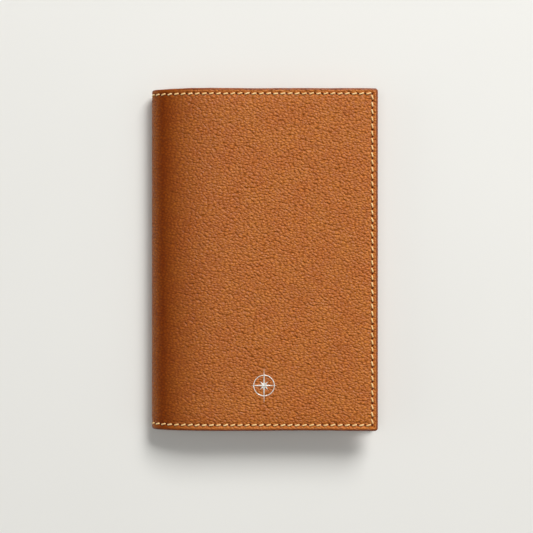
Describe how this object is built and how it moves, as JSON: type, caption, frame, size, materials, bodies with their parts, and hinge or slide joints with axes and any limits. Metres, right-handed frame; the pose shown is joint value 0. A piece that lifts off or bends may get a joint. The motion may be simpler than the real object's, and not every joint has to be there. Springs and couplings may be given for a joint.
{
  "type": "passport holder",
  "caption": "Folded leather passport holder with a soft rounded spine, contrast-stitched edges, a passport sleeve in each cover and stepped card pockets inside.",
  "frame": {"origin": "bottom centre of the closed holder's box, on the outer face of the back cover", "axes": "+X from the spine to the fore edge, +Y from the tail to the head, +Z from the back cover up to the front cover"},
  "size_m": [0.093, 0.14, 0.014],
  "materials": {
    "cover_leather": "tan pebbled leather, satin, edges painted reddish brown",
    "lining_leather": "smooth tan lining leather, satin",
    "board": "bonded leather board, matt",
    "thread": "waxed cream twisted thread",
    "foil": "silver-white stamped foil, satin"
  },
  "bodies": {
    "back": {"back_hide": "cover_leather", "back_board": "board", "back_lining": "lining_leather", "back_sleeve": "lining_leather", "back_stitches": "thread", "back_inner_stitches": "thread"},
    "spine_lower": {"spine_lower_hide": "cover_leather", "spine_lower_lining": "lining_leather", "spine_lower_stitches": "thread"},
    "spine_middle": {"spine_middle_hide": "cover_leather", "spine_middle_lining": "lining_leather", "spine_middle_stitches": "thread"},
    "spine_upper": {"spine_upper_hide": "cover_leather", "spine_upper_lining": "lining_leather", "spine_upper_stitches": "thread"},
    "front": {"front_hide": "cover_leather", "front_board": "board", "front_lining": "lining_leather", "front_sleeve": "lining_leather", "inner_card_pocket": "lining_leather", "outer_card_pocket": "lining_leather", "front_stitches": "thread", "front_inner_stitches": "thread", "card_pocket_stitches": "thread", "front_emblem": "foil"}
  },
  "joints": [
    {"name": "back_fold", "type": "hinge", "parent": "back", "child": "spine_lower", "pos_m": [-0.04343, 0, 0.00057], "axis": [0, -1, 0], "range_deg": [0, 45]},
    {"name": "lower_spine_fold", "type": "hinge", "parent": "spine_lower", "child": "spine_middle", "pos_m": [-0.04646, 0, 0.00506], "axis": [0, -1, 0], "range_deg": [0, 81]},
    {"name": "upper_spine_fold", "type": "hinge", "parent": "spine_middle", "child": "spine_upper", "pos_m": [-0.0428, 0, 0.00939], "axis": [0, -1, 0], "range_deg": [0, 39.6]},
    {"name": "front_fold", "type": "hinge", "parent": "spine_upper", "child": "front", "pos_m": [-0.03176, 0, 0.01306], "axis": [0, -1, 0], "range_deg": [0, 14.4]}
  ],
  "couplings": [
    {"joint": "lower_spine_fold", "follows": "back_fold", "ratio": 1.8},
    {"joint": "upper_spine_fold", "follows": "back_fold", "ratio": 0.88},
    {"joint": "front_fold", "follows": "back_fold", "ratio": 0.32}
  ]
}
